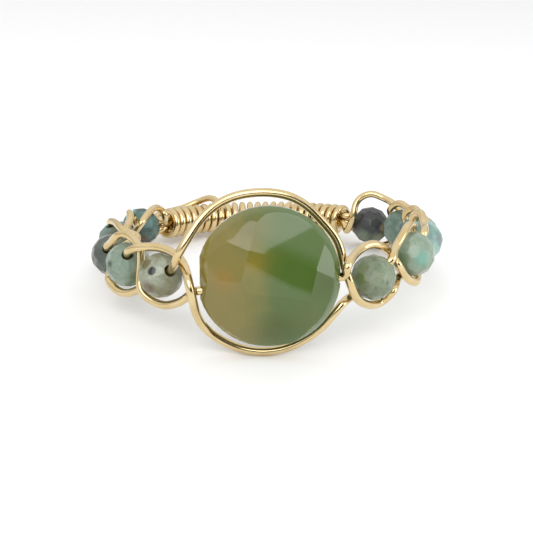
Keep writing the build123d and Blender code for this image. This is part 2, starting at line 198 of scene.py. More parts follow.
# A soft-edged patch of colour in stone: how near a point of the surface is to the
# patch's middle, with the distance made uneven by fine noise.
patch_group, enter, leave = new_group(
    "colour patch in stone",
    (("Vector", "NodeSocketVector", None), ("Middle", "NodeSocketVector", None),
     ("Reach", "NodeSocketFloat", 1.0), ("Softness", "NodeSocketFloat", 0.5),
     ("Unevenness", "NodeSocketFloat", 0.3), ("Grain", "NodeSocketFloat", 2.0)),
    (("Mask", "NodeSocketFloat"),),
)
grain = noise(patch_group, enter.outputs["Vector"], enter.outputs["Grain"], 4.0)
away = vector_maths(patch_group, "DISTANCE", enter.outputs["Vector"], enter.outputs["Middle"])
wander = maths(patch_group, "MULTIPLY_ADD", grain, 2.0, -1.0)
wander = maths(patch_group, "MULTIPLY", wander, enter.outputs["Unevenness"])
distance = maths(patch_group, "ADD", away, wander)
inner = maths(patch_group, "SUBTRACT", enter.outputs["Reach"], enter.outputs["Softness"])
outer = maths(patch_group, "ADD", enter.outputs["Reach"], enter.outputs["Softness"])
patch_group.links.new(ramp(patch_group, distance, inner, outer, 1.0, 0.0), leave.inputs["Mask"])


def millimetres(tree):
    """The surface's own place in the frame, in millimetres."""
    place = tree.nodes.new("ShaderNodeTexCoord")
    scaled = tree.nodes.new("ShaderNodeVectorMath")
    scaled.operation = "SCALE"
    scaled.inputs["Scale"].default_value = 1 / MM
    tree.links.new(place.outputs["Object"], scaled.inputs[0])
    return scaled.outputs[0]


def patched(tree, place, colour, patches):
    """Lays patches over a colour: middle (mm in the ring's plane), reach, softness and
    unevenness (mm), grain, colour, strength."""
    for middle, reach, softness, uneven, fineness, tint, strength in patches:
        spot = tree.nodes.new("ShaderNodeGroup")
        spot.node_tree = patch_group
        tree.links.new(place, spot.inputs["Vector"])
        spot.inputs["Middle"].default_value = tuple(lay(middle) / MM)
        spot.inputs["Reach"].default_value = reach
        spot.inputs["Softness"].default_value = softness
        spot.inputs["Unevenness"].default_value = uneven
        spot.inputs["Grain"].default_value = fineness
        colour = blend(tree, maths(tree, "MULTIPLY", spot.outputs["Mask"], strength), colour, tint)
    return colour


def colour_of(red, green, blue):
    """A display colour (0 to 255) as the shader's linear colour."""
    share = np.array([red, green, blue]) / 255
    linear = np.where(share > 0.04045, ((share + 0.055) / 1.055) ** 2.4, share / 12.92)
    return (*linear.tolist(), 1.0)


def new_material(name):
    """A material with only its Principled shader, and its tree."""
    material = bpy.data.materials.new(name)
    material.use_nodes = True
    shader = material.node_tree.nodes["Principled BSDF"]
    return material, material.node_tree, shader


def on_face(right, up):
    """A point on the front stone's face, mm right and up of its middle as seen from the front."""
    return coin_middle + np.array([right, -0.4 * COIN_THICK, up])


def along_direction(tree, place, start, way):
    """How far (mm) a point lies from a starting point along a direction of the ring's plane."""
    apart = vector_maths(tree, "SUBTRACT", place, tuple(lay(start) / MM))
    return vector_maths(tree, "DOT_PRODUCT", apart, tuple(RING_TURN @ np.array(way)))


# Ochre to the left and green to the right, parted by a cloudy line, with patches:
# place, reach, softness, unevenness, grain, colour, strength.
agate, tree, shader = new_material("green agate")
place = millimetres(tree)
rightward = along_direction(tree, place, coin_middle, (1.0, 0.0, 0.0))
upward = along_direction(tree, place, coin_middle, (0.0, 0.0, 1.0))
drift = maths(tree, "MULTIPLY_ADD", noise(tree, place, 0.42, 4.0, 0.8), 3.0, -1.5)
greener = ramp(tree, maths(tree, "ADD", rightward, drift), -2.4, 1.2)
green = blend(tree, greener, colour_of(124, 113, 52), colour_of(74, 98, 42))
green = patched(tree, place, green, (
    (on_face(-2.5, 0.1), 0.55, 0.7, 0.3, 0.9, colour_of(140, 112, 44), 0.8),
    (on_face(-0.9, 1.0), 0.4, 0.7, 0.3, 0.9, colour_of(136, 118, 40), 0.7),
    (on_face(-1.6, -2.6), 0.9, 1.3, 0.4, 0.7, colour_of(122, 114, 60), 0.6),
    (on_face(0.4, -3.1), 1.0, 1.0, 0.4, 0.6, colour_of(70, 78, 22), 0.8),
    (on_face(2.2, -1.9), 0.8, 0.9, 0.3, 0.6, colour_of(84, 96, 42), 0.7),
    (on_face(3.4, -0.2), 0.8, 0.8, 0.3, 0.6, colour_of(64, 80, 24), 0.8),
    (on_face(-0.9, 3.0), 0.5, 0.7, 0.3, 0.7, colour_of(98, 92, 30), 0.8),
))
# Painted highlight: the thin edge of the stone is painted paler, most where it faces up and right,
# toward the light.
sideways = maths(tree, "MULTIPLY", rightward, rightward)
upright = maths(tree, "MULTIPLY", upward, upward)
from_axis = maths(tree, "SQRT", maths(tree, "ADD", sideways, upright))
facing_right = maths(tree, "MULTIPLY", rightward, 0.18)
facing_up = maths(tree, "MULTIPLY", upward, 0.12)
highlight_rim = ramp(tree, from_axis, 3.6, 3.95)
painted_highlight_share = ramp(tree, maths(tree, "ADD", facing_right, facing_up), -0.5, 0.6, 0.03, 0.12)
# Mixes the painted highlight on the rim into the stone's colour.
green = blend(tree, maths(tree, "MULTIPLY", highlight_rim, painted_highlight_share), green, colour_of(158, 164, 138))
tree.links.new(green, shader.inputs["Base Color"])
shader.inputs["Roughness"].default_value = 0.06
shader.inputs["IOR"].default_value = 1.56
shader.inputs["Subsurface Weight"].default_value = 0.15
shader.inputs["Subsurface Radius"].default_value = (1.0, 1.0, 0.6)
shader.inputs["Subsurface Scale"].default_value = 0.5 * MM

# The flat above the middle one is ground a little deeper than the solid has it. Its
# slope is worked out from the stone's half thickness and half width.
half = COIN_THICK / 2
deeper_flat = (coin_middle + np.array([0.0, -1.23 * half, 0.0]), (0.44 * half, -COIN / 2, 0.90 * half))
coin = ground_facets("coin_bead", "front_stone", COIN_EDGE, (deeper_flat,))
coin.data.materials.append(agate)
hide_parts("coin_bead")
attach(coin, "root")

# Small side beads: 2.75 mm faceted rounds of mottled green-grey jasper, eleven of
# them, each drilled and tumbled, so that their facets are flat with worn edges.
BEAD = 2.75
BEAD_HOLE = 0.68
COIN_HOLE_DROP = 0.42
SHOULDER = 0.03
WIRE = 0.5
WIRE_AIR = 0.04
LANE = WIRE + 2 * WIRE_AIR
HOLE_REACH = 0.6 * WIRE
BEAD_CIRCLE = FINGER / 2 + BEAD / 2

# Name, gap to the neighbour nearer the front stone (wire lanes), lift and stand-off
# (bead diameters), size (beads), slack of the wire over and under (wire diameters),
# hole outward and upward.
STONES = (
    ("bead_right_6", 1.28, -0.10, 0.145, 1.00, 1.50, 0.12, -0.30, 0.30),
    ("bead_right_5", 1.26, 0.02, 0.100, 0.99, 0.12, 0.12, 0.30, 0.70),
    ("bead_right_4", 1.51, 0.08, 0.000, 0.98, 0.30, 0.12, 0.45, 0.50),
    ("bead_right_3", 1.40, 0.21, -0.073, 0.95, 0.24, 0.12, 0.15, 0.50),
    ("bead_right_2", 2.10, 0.14, 0.000, 1.00, 0.16, 0.12, 0.28, 0.83),
    ("bead_right_1", 2.05, -0.13, 0.000, 0.96, 0.84, 0.12, 0.40, 0.70),
    ("coin_bead", 0.0, 0.0, 0.0, 0.0, 0.0, 0.0, 0.0, 0.10),
    ("bead_left_1", 2.47, -0.10, 0.000, 0.95, 0.44, 0.28, 0.30, 0.40),
    ("bead_left_2", 1.09, -0.06, 0.000, 0.99, 0.20, 0.12, 0.36, 0.62),
    ("bead_left_3", 1.54, -0.11, 0.000, 0.98, 0.24, 0.12, 0.30, 0.50),
    ("bead_left_4", 1.86, -0.045, 0.000, 0.96, 0.24, 0.12, 0.25, 0.90),
    ("bead_left_5", 2.02, 0.05, 0.000, 0.98, 0.30, 0.12, -0.40, 0.20),
)


def degrees_for(length):
    """The angle that a length takes up on the circle through the beads' middles."""
    return math.degrees(length / BEAD_CIRCLE)


def threaded(row, angle):
    """Where one stone sits on the ring, and which way its hole looks."""
    name, _, lift, stand_off, size, over, under, hole_out, hole_up = row
    along, out = round_the_ring(angle)
    axis = -math.sqrt(1 - hole_out**2 - hole_up**2) * along + hole_out * out + hole_up * UP
    if name == "coin_bead":
        radius, middle, hole = COIN / 2, coin_middle, coin_middle - COIN_HOLE_DROP * UP
    else:
        radius = BEAD / 2 * size
        middle = out * (BEAD_CIRCLE + BEAD * stand_off) + UP * BEAD * lift
        hole = middle
    return {"name": name, "coin": name == "coin_bead", "angle": angle, "along": along, "out": out,
            "axis": axis, "radius": radius, "middle": middle, "hole": hole,
            "reach": radius + HOLE_REACH, "over": over, "under": under}


def string_of_stones():
    """Walks from the front stone to both sides, each stone one gap past the last."""
    front = [row[0] for row in STONES].index("coin_bead")
    placed = {front: threaded(STONES[front], 0.0)}
    for step, side in ((-1, 1), (1, -1)):
        at, angle = front + step, degrees_for(COIN / 2)
        while 0 <= at < len(STONES):
            half = degrees_for(BEAD / 2 * STONES[at][4])
            angle += degrees_for(STONES[at][1] * LANE) + half
            placed[at] = threaded(STONES[at], side * angle)
            angle += half
            at += step
    return [placed[at] for at in sorted(placed)]


stones = string_of_stones()

# A bead's facets in five rows: latitude, count, first one's place (part of a step).
FACET_ROWS = ((-58, 8, 0.5), (-29, 12, 0.0), (0, 12, 0.5), (29, 12, 0.0), (58, 8, 0.5))
FACET_DEPTH = 0.965
FACET_SHARPNESS = 240
BEAD_ROWS, BEAD_COLUMNS, WALL_ROWS = 97, 144, 5


def facet_directions():
    """Outward directions of a bead's facets."""
    directions = []
    for latitude, count, shift in FACET_ROWS:
        round_axis = (np.arange(count) + shift) * 2 * np.pi / count
        level, spread = math.sin(math.radians(latitude)), math.cos(math.radians(latitude))
        directions.append(np.stack([spread * np.cos(round_axis), spread * np.sin(round_axis),
                                    np.full(count, level)], -1))
    return np.concatenate(directions)


def smooth_mesh(name, points, faces, material):
    """A smooth-shaded mesh of one material."""
    mesh = bpy.data.meshes.new(name)
    mesh.from_pydata(points, [], faces)
    mesh.polygons.foreach_set("use_smooth", np.ones(len(faces), bool))
    mesh.materials.append(material)
    return mesh


def closed_grid(points, name, material):
    """A piece from a grid of points that closes on itself in both directions."""
    rows, columns = points.shape[:2]
    number = np.arange(rows * columns).reshape(rows, columns)
    onward = np.roll(number, -1, 1)
    faces = np.stack([number, onward, np.roll(onward, -1, 0), np.roll(number, -1, 0)], -1)
    return shown(name, smooth_mesh(name, points.reshape(-1, 3), faces.reshape(-1, 4), material))


def faceted_bead(stone, twist):
    """Points of a drilled bead, row by row from one mouth of the hole round to it again.

    In each direction the surface lies where the nearest facet's flat plane does:
    radius = facet distance / (sum of (facet . direction)^power)^(1 / power), so a
    high power keeps facets flat and rounds their edges only a little. The last
    rows run back along the hole's wall.
    """
    hole = BEAD_HOLE / 2
    rim = math.acos((hole + SHOULDER) / stone["radius"])
    latitude = np.linspace(rim, -rim, BEAD_ROWS)[:, None]
    longitude = np.linspace(0, 2 * np.pi, BEAD_COLUMNS, endpoint=False)[None, :]
    ray = np.stack(np.broadcast_arrays(np.cos(latitude) * np.cos(longitude),
                                       np.cos(latitude) * np.sin(longitude), np.sin(latitude)), -1)
    facing = np.clip(ray @ facet_directions().T, 0, None)
    nearest = (facing ** FACET_SHARPNESS).sum(-1) ** (1 / FACET_SHARPNESS)
    shell = ray * (FACET_DEPTH * stone["radius"] / nearest)[..., None]
    mouth = shell[0, :, 2].min() - SHOULDER / 2
    wall_level = np.linspace(-mouth, mouth, WALL_ROWS)[:, None]
    wall = np.stack(np.broadcast_arrays(
        hole * np.cos(longitude), hole * np.sin(longitude), wall_level), -1)
    points = np.concatenate([shell, wall])
    side = np.cross(UP, stone["axis"])
    side /= np.linalg.norm(side)
    other = np.cross(stone["axis"], side)
    c, s = math.cos(twist), math.sin(twist)
    basis = np.stack([c * side + s * other, c * other - s * side, stone["axis"]])
    return lay(stone["middle"] + points @ basis)[::-1]


# Mottled stone: two tones in clouds, a third in finer specks, and dark thin veins
# where one noise crosses its middle value.
mottle_group, enter, leave = new_group(
    "mottled stone",
    (("Vector", "NodeSocketVector", None), ("Light", "NodeSocketColor", None),
     ("Middle", "NodeSocketColor", None), ("Dark", "NodeSocketColor", None),
     ("Cloud Scale", "NodeSocketFloat", 0.8), ("Speck Amount", "NodeSocketFloat", 0.3),
     ("Vein Amount", "NodeSocketFloat", 0.5), ("Vein Width", "NodeSocketFloat", 0.03)),
    (("Color", "NodeSocketColor"), ("Height", "NodeSocketFloat")),
)
vector, scale = enter.outputs["Vector"], enter.outputs["Cloud Scale"]
clouds = ramp(mottle_group, noise(mottle_group, vector, scale, 6.0, 0.6), 0.38, 0.62)
fine_scale = maths(mottle_group, "MULTIPLY", scale, 4.5)
specks = ramp(mottle_group, noise(mottle_group, vector, fine_scale, 5.0), 0.52, 0.68)
specks = maths(mottle_group, "MULTIPLY", specks, enter.outputs["Speck Amount"])
vein_scale = maths(mottle_group, "MULTIPLY", scale, 1.6)
crossing = maths(mottle_group, "SUBTRACT", noise(mottle_group, vector, vein_scale, 7.0, 1.2), 0.5)
crossing = maths(mottle_group, "ABSOLUTE", crossing)
veins = ramp(mottle_group, crossing, 0.0, enter.outputs["Vein Width"], 1.0, 0.0)
veins = maths(mottle_group, "MULTIPLY", veins, enter.outputs["Vein Amount"])
toned = blend(mottle_group, clouds, enter.outputs["Light"], enter.outputs["Middle"])
toned = blend(mottle_group, specks, toned, enter.outputs["Dark"])
toned = blend(mottle_group, veins, toned, enter.outputs["Dark"])
mottle_group.links.new(toned, leave.inputs["Color"])
mottle_group.links.new(maths(mottle_group, "MULTIPLY", veins, -1.0), leave.inputs["Height"])

# Material slot, light, middle and dark tone, cloud scale, specks, veins, and patches:
# direction from the bead's middle (right, back, up), reach, softness, colour.
BEAD_LOOKS = {
    "bead_left_1": ("bead_teal", (160, 167, 148), (134, 136, 112), (89, 88, 65), 0.9, 0.20, 0.22, (
        ((0.10, -0.75, -0.62), 0.65, 0.45, (120, 119, 89)),
        ((-0.52, -0.75, -0.42), 0.40, 0.30, (98, 80, 56)),
        ((-0.60, -0.42, 0.62), 0.36, 0.12, (95, 88, 41)),
        ((-0.30, -0.85, 0.40), 0.27, 0.06, (12, 9, 12)),
    )),
    "bead_left_2": ("bead_teal", (133, 151, 136), (113, 131, 113), (77, 92, 71), 0.8, 0.20, 0.20, (
        ((0.35, -0.84, -0.42), 0.35, 0.35, (97, 116, 84)),
        ((-0.10, -0.60, -0.80), 0.45, 0.35, (136, 155, 143)),
        ((-0.71, -0.69, 0.18), 0.20, 0.14, (52, 66, 44)),
    )),
    "bead_left_3": ("bead_green", (103, 112, 101), (77, 84, 77), (48, 52, 45), 0.9, 0.30, 0.30, ()),
    "bead_left_4": ("bead_green", (120, 131, 117), (89, 101, 89), (57, 62, 55), 0.9, 0.30, 0.30, (
        ((-0.50, -0.40, 0.70), 0.45, 0.30, (103, 129, 122)),
    )),
    "bead_left_5": ("bead_charcoal", (78, 108, 100), (56, 73, 67), (37, 41, 39), 0.9, 0.35, 0.35, (
        ((0.45, -0.70, 0.60), 0.60, 0.35, (86, 130, 123)),
        ((-0.60, -0.20, 0.80), 0.50, 0.20, (89, 164, 158)),
        ((0.30, -0.80, -0.55), 0.35, 0.25, (87, 71, 54)),
    )),
    "bead_right_1": ("bead_teal", (125, 138, 113), (107, 121, 96), (70, 80, 62), 1.0, 0.20, 0.30, (
        ((-0.60, -0.58, 0.55), 0.32, 0.20, (110, 128, 80)),
        ((-0.64, -0.75, 0.12), 0.32, 0.20, (110, 128, 80)),
        ((0.50, -0.82, -0.05), 0.12, 0.12, (83, 97, 81)),
        ((0.00, -0.90, -0.25), 0.08, 0.10, (83, 97, 81)),
    )),
    "bead_right_2": ("bead_teal", (147, 164, 147), (126, 147, 126), (91, 110, 87), 0.8, 0.20, 0.20, (
        ((-0.62, -0.78, -0.12), 0.50, 0.35, (104, 126, 95)),
        ((0.30, -0.60, -0.80), 0.35, 0.25, (140, 138, 119)),
        ((0.32, -0.94, 0.03), 0.42, 0.36, (112, 162, 147)),
    )),
    "bead_right_3": ("bead_teal", (150, 184, 174), (122, 156, 148), (84, 102, 98), 0.8, 0.25, 0.25, (
        ((0.75, -0.60, 0.20), 0.35, 0.30, (104, 118, 120)),
    )),
    "bead_right_4": ("bead_green", (126, 154, 138), (90, 118, 100), (54, 68, 56), 0.9, 0.30, 0.30, ()),
    "bead_right_5": ("bead_green", (104, 126, 114), (77, 101, 87), (44, 55, 49), 0.9, 0.25, 0.25, (
        ((-0.05, -0.95, 0.20), 0.22, 0.22, (39, 62, 52)),
    )),
    "bead_right_6": ("bead_charcoal", (65, 67, 67), (46, 50, 50), (26, 28, 29), 1.0, 0.40, 0.40, (
        ((-0.45, -0.70, -0.52), 0.50, 0.30, (98, 112, 89)),
        ((0.35, -0.70, -0.65), 0.50, 0.30, (112, 120, 96)),
        ((0.64, -0.77, 0.02), 0.30, 0.18, (117, 100, 60)),
    )),
}

PATCH_UNEVEN, PATCH_GRAIN, PATCH_STRENGTH = 0.16, 1.6, 0.95
BUMP_DEPTH = 0.01 * MM
TURN_PER_BEAD = 0.7


def bumped(tree, height, strength, shader):
    """Raises a material's surface by a height."""
    raised = tree.nodes.new("ShaderNodeBump")
    raised.inputs["Strength"].default_value = strength
    raised.inputs["Distance"].default_value = BUMP_DEPTH
    tree.links.new(height, raised.inputs["Height"])
    tree.links.new(raised.outputs["Normal"], shader.inputs["Normal"])


for number, stone in enumerate(stones):
    if stone["coin"]:
        continue
    slot, light, middle, dark, cloud_scale, speck, vein, patches = BEAD_LOOKS[stone["name"]]
    jasper, tree, shader = new_material("jasper of " + stone["name"])
    place = millimetres(tree)
    body = tree.nodes.new("ShaderNodeGroup")
    body.node_tree = mottle_group
    another_place = vector_maths(tree, "ADD", place, (7.3 * number, 3.1 * number, 5.7 * number))
    tree.links.new(another_place, body.inputs["Vector"])
    body.inputs["Light"].default_value = colour_of(*light)
    body.inputs["Middle"].default_value = colour_of(*middle)
    body.inputs["Dark"].default_value = colour_of(*dark)
    body.inputs["Cloud Scale"].default_value = cloud_scale
    body.inputs["Speck Amount"].default_value = speck
    body.inputs["Vein Amount"].default_value = vein
    spots = []
    for way, reach, soft, tint in patches:
        spot = stone["middle"] + stone["radius"] * np.array(way) / np.linalg.norm(way)
        spots.append((spot, reach, soft, PATCH_UNEVEN, PATCH_GRAIN, colour_of(*tint), PATCH_STRENGTH))
    tree.links.new(patched(tree, place, body.outputs["Color"], spots), shader.inputs["Base Color"])
    bumped(tree, body.outputs["Height"], 0.25, shader)
    shader.inputs["Roughness"].default_value = 0.26
    shader.inputs["IOR"].default_value = 1.54
    shader.inputs["Subsurface Weight"].default_value = 0.12
    shader.inputs["Subsurface Radius"].default_value = (1.0, 1.0, 0.8)
    shader.inputs["Subsurface Scale"].default_value = 0.4 * MM
    bead = closed_grid(faceted_bead(stone, TURN_PER_BEAD * number), stone["name"] + "_stone", jasper)
    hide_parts(stone["name"])
    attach(bead, "root")

# Three braided wires: 0.5 mm round half-hard gold wire. Each passes over a stone,
# through the hole of the next and under the one after, bent round them by hand.
TURNS = ("over", "through", "under")
STRANDS = {"strand_a": "over", "strand_b": "under", "strand_c": "through"}
WAY_IN = {"over": ("low", "high"), "through": ("outer",), "under": ("inner",)}

# Between two stones: out (wire diameters), up (bead radii), along (wire diameters).
USUAL_GAP = {
    "outer": ((1.16, 0.80, 0.0),),
    "low": ((0.56, -0.55, 0.0),),
    "high": ((-0.34, 0.69, 0.0),),
    "inner": ((-1.00, -0.69, 0.2),),
}
GAPS_AFTER = {
    "bead_right_6": {
        "outer": ((0.65, 1.34, 0.33),),
        "low": ((2.80, -0.85, 0.00),),
        "high": ((0.24, 0.82, 0.54),),
        "inner": (),
    },
    "bead_right_5": {"outer": ((0.80, 0.80, 0.00),), "high": ((-0.80, 0.60, 0.00),)},
    "bead_right_4": {"outer": ((0.70, 0.84, 0.14),), "high": ((-0.60, 0.60, 0.00),)},
    "bead_right_3": {
        "outer": ((0.76, 0.90, -0.36),),
        "low": ((1.05, -0.36, 0.15),),
        "high": ((-0.80, 0.75, -0.35),),
        "inner": ((-0.90, -1.00, 0.40),),
    },
    "bead_right_2": {
        "outer": ((0.66, 0.80, 0.65),),
        "low": ((1.34, 0.17, 0.80),),
        "high": ((-0.67, 0.54, -0.18),),
        "inner": ((-0.16, -0.70, -1.14),),
    },
    "bead_right_1": {
        "outer": ((2.12, 0.71, 1.67),),
        "low": ((0.58, 0.01, 0.59),),
        "high": ((-0.47, 0.45, 0.61),),
        "inner": ((-1.11, -1.08, -0.06),),
    },
    "coin_bead": {
        "outer": ((1.46, 1.54, -0.90), (1.93, 0.91, -0.03)),
        "low": ((2.68, -0.24, -2.16),),
        "high": ((0.19, 0.49, -0.11),),
        "inner": ((-1.20, -0.84, 0.00),),
    },
    "bead_left_1": {
        "outer": ((1.52, 0.95, 0.37),),
        "low": ((0.76, -0.45, 0.08),),
        "high": ((0.40, 0.58, 0.00),),
        "inner": (),
    },
    "bead_left_2": {
        "low": ((1.50, -0.80, 0.50),),
        "high": ((-0.10, 0.62, 0.00),),
        "outer": ((1.13, 0.74, 0.24),),
    },
    "bead_left_3": {"high": ((-1.29, 0.85, 0.29),), "outer": ((-0.15, 1.21, 0.26),)},
    "bead_left_4": {
        "high": ((-2.18, 0.60, -0.79),),
        "inner": ((-1.00, -1.25, 0.20),),
        "outer": ((-0.23, 0.91, 0.74),),
    },
}

# Bends over and under a bead: angle from the side toward the next stone, reach as a
# share of the usual, and out (wire diameters).
USUAL_BEND = {
    "over": ((135, 1.00, -0.2), (90, 1.00, 0.0), (45, 1.00, 0.2)),
    "under": ((135, 1.00, -0.2), (90, 1.00, 0.0), (45, 1.00, 0.3)),
}
BEND_STEP = 45
BENDS = {
    "bead_right_6": {
        "over": ((115, 0.28, -3.37), (104, 0.78, -2.44), (82, 1.02, -1.19), (61, 0.98, -0.05)),
        "under": ((135, 1.00, 1.80), (90, 1.00, 2.00), (45, 1.00, 2.30)),
    },
    "bead_right_5": {"over": ((124, 0.90, -0.92), (94, 1.07, -0.50), (60, 1.02, -0.20))},
    "bead_right_4": {"over": ((128, 0.90, -1.68), (93, 1.04, -0.82), (61, 0.99, -0.55))},
    "bead_right_3": {"over": ((129, 0.91, -1.73), (94, 1.05, -0.28), (56, 0.93, 0.21))},
    "bead_right_2": {
        "over": ((112, 0.93, -0.43), (78, 1.06, -0.17), (49, 1.12, 0.08)),
        "under": ((132, 0.97, -0.19), (96, 1.00, 0.66), (61, 0.92, 0.54), (37, 0.90, 0.25)),
    },
    "bead_right_1": {
        "over": ((109, 0.87, 0.09), (82, 0.96, 0.06), (50, 1.06, 0.34)),
        "under": ((143, 0.80, 1.20), (124, 1.19, -0.72), (87, 0.99, -0.09), (27, 1.17, 1.25)),
    },
    "bead_left_1": {
        "over": ((127, 0.94, -0.14), (82, 0.87, -0.13), (52, 1.06, 0.93)),
        "under": ((135, 1.10, 0.00), (90, 1.03, 0.00), (45, 1.00, 0.64)),
    },
    "bead_left_2": {
        "over": ((135, 1.16, 0.00), (90, 1.03, 0.00), (71, 0.99, 0.76)),
        "under": ((135, 1.05, -0.10), (90, 1.03, 0.90), (45, 1.05, 1.40)),
    },
    "bead_left_3": {"over": ((110, 0.62, -3.70), (85, 0.79, -1.76), (74, 0.90, -1.18))},
    "bead_left_4": {
        "over": ((128, 0.84, -2.01), (89, 0.92, -1.94), (66, 1.11, -1.21)),
        "under": ((135, 1.00, 0.20), (90, 1.00, 0.60), (45, 1.00, 0.90)),
    },
    "bead_left_5": {
        "over": ((130, 0.77, -2.36), (77, 0.81, -2.03), (33, 1.03, -1.43)),
        "under": ((135, 1.00, 1.60), (90, 1.00, 2.00), (45, 1.00, 1.80)),
    },
}

# Round the front stone: angle from its left, distance from its edge (wire diameters)
# and distance behind its middle (share of its thickness).
FRONT_BENDS = {
    "over": (
        (156, 0.66, 0.28), (140, 0.47, 0.29), (113, 1.17, 0.28), (90, 1.37, 0.24),
        (65, 1.80, 0.24), (44, 1.95, 0.21),
    ),
    "under": (
        (149, 0.90, 0.27), (129, 1.03, 0.29), (105, 1.25, 0.27), (84, 1.46, 0.24),
        (63, 1.63, 0.21), (37, 1.93, 0.17),
    ),
}

# Between the last beads and the bound back: distance along (bead diameters) from the
# bead's middle, then out and up from the bundle (wire diameters).
LEAVING = {
    "strand_a": ((0.45, -1.50, -1.80),),
    "strand_b": ((0.56, 1.80, -1.80),),
    "strand_c": (),
}
JOINING = {
    "strand_a": ((0.60, 1.20, -1.60),),
    "strand_b": ((0.62, 1.20, 0.50),),
    "strand_c": ((0.645, -1.39, 1.53),),
}

# The bound back: each wire's place in the bundle and the bundle's twist (degrees),
# how far past the last beads it runs (bead diameters), and where the wires' ends
# meet (wire diameters) and the gap between them.
BUNDLE_ANGLES = {"strand_a": 210, "strand_b": 330, "strand_c": 90}
BUNDLE_TWIST = 75
BUNDLE_AFTER, BUNDLE_BEFORE = 0.62, 0.78
MEETING_SHIFT = {"strand_a": -2.4, "strand_b": 0.0, "strand_c": 2.4}
END_GAP = 0.1
BUNDLE_STEP = 8
BUNDLE_SPREAD = (WIRE + WIRE_AIR) / math.sqrt(3)
BINDING_WIRE = 0.5
BINDING_AIR = 0.06
BINDING_TURN = BUNDLE_SPREAD + WIRE / 2 + BINDING_WIRE / 2 + BINDING_AIR
BUNDLE_CIRCLE = FINGER / 2 + BINDING_TURN + BINDING_WIRE / 2
bundle_from = stones[0]["angle"] + degrees_for(BUNDLE_AFTER * BEAD)
bundle_to = stones[-1]["angle"] - degrees_for(BUNDLE_BEFORE * BEAD) + 360
STRAIGHT_RUN = 1.5 * WIRE


def in_gap(before, after, wire):
    """Corners of a wire in the gap between two neighbouring stones."""
    start = before["middle"] + (before["along"] * before["radius"] if before["coin"] else 0)
    end = after["middle"] - (after["along"] * after["radius"] if after["coin"] else 0)
    reach_before = 0 if before["coin"] else before["radius"]
    reach_after = 0 if after["coin"] else after["radius"]
    length = np.linalg.norm(end - start)
    share = (reach_before + (length - reach_before - reach_after) / 2) / length
    middle = start + (end - start) * share
    along, out = round_the_ring(math.degrees(math.atan2(middle[0], -middle[1])))
    rows = GAPS_AFTER.get(before["name"], {}).get(wire, USUAL_GAP[wire])
    return [middle + out * o * WIRE + UP * u * BEAD / 2 + along * a * WIRE for o, u, a in rows]


def round_stone(stone, side):
    """Corners of a wire's bend over or under a stone."""
    sign = 1 if side == "over" else -1

    def flat(angle):
        turn = math.radians(angle)
        return stone["along"] * math.cos(turn) + UP * sign * math.sin(turn)

    if stone["coin"]:
        return [stone["middle"] + flat(angle) * (stone["radius"] + off * WIRE)
                - stone["out"] * behind * COIN_THICK for angle, off, behind in FRONT_BENDS[side]]
    reach = stone["radius"] + WIRE / 2 + stone[side] * WIRE
    reach /= math.cos(math.radians(BEND_STEP / 2))
    rows = BENDS.get(stone["name"], {}).get(side, USUAL_BEND[side])
    return [stone["middle"] + flat(angle) * share * reach + stone["out"] * outward * WIRE
            for angle, share, outward in rows]


def through_stone(stone):
    """Corners that keep the wire straight on the hole's axis."""
    reach = stone["reach"]
    inside = reach - STRAIGHT_RUN
    return [stone["hole"] + stone["axis"] * far for far in (reach, inside, -inside, -reach)]


def bundled(strand, angle):
    """A wire's place among the three at the back, which twist on their way."""
    twist = BUNDLE_TWIST * (angle - bundle_from) / (bundle_to - bundle_from)
    turn = math.radians(BUNDLE_ANGLES[strand] + twist)
    out = round_the_ring(angle)[1]
    return out * (BUNDLE_CIRCLE + BUNDLE_SPREAD * math.cos(turn)) + UP * BUNDLE_SPREAD * math.sin(turn)


def loose(rows, bead_angle, side):
    """Corners between the last bead and the bundle."""
    return [round_the_ring(bead_angle + side * degrees_for(far * BEAD))[1] * (BUNDLE_CIRCLE + out * WIRE)
            + UP * up * WIRE for far, out, up in rows]


def evenly(first, last):
    """Angles from first to last in even steps of about eight degrees."""
    return np.linspace(first, last, max(1, round(abs(last - first) / BUNDLE_STEP)) + 1)


def wire_route(strand):
    """All corners of one wire, from its end in the binding round the ring and back."""
    meeting = (bundle_from + bundle_to) / 2 + degrees_for(MEETING_SHIFT[strand] * WIRE)
    half_gap = degrees_for(END_GAP / 2)
    corners = [bundled(strand, angle) for angle in evenly(meeting - half_gap, bundle_from)]
    corners += loose(LEAVING[strand], stones[0]["angle"], 1)
    for at, stone in enumerate(stones):
        turn = TURNS[(at + TURNS.index(STRANDS[strand])) % 3]
        if at:
            for way in WAY_IN[turn]:
                corners += in_gap(stones[at - 1], stone, way)
        corners += through_stone(stone) if turn == "through" else round_stone(stone, turn)
    corners += loose(JOINING[strand], stones[-1]["angle"], -1)
    corners += [bundled(strand, angle) for angle in evenly(bundle_to, meeting + half_gap)]
    return np.array(corners)


def smooth_line(corners, steps):
    """A curve drawn between the corners: each piece is a parabola from the middle of
    one run to the middle of the next, 0.5 ((1-t)^2 A + (1+2t-2t^2) B + t^2 C)."""
    corners = np.concatenate([corners[:1], corners, corners[-1:]])
    t = (np.arange(steps) / steps)[None, :, None]
    a, b, c = corners[:-2, None], corners[1:-1, None], corners[2:, None]
    line = 0.5 * ((1 - t) ** 2 * a + (1 + 2 * t - 2 * t * t) * b + t * t * c)
    return np.concatenate([line.reshape(-1, 3), corners[-1:]])


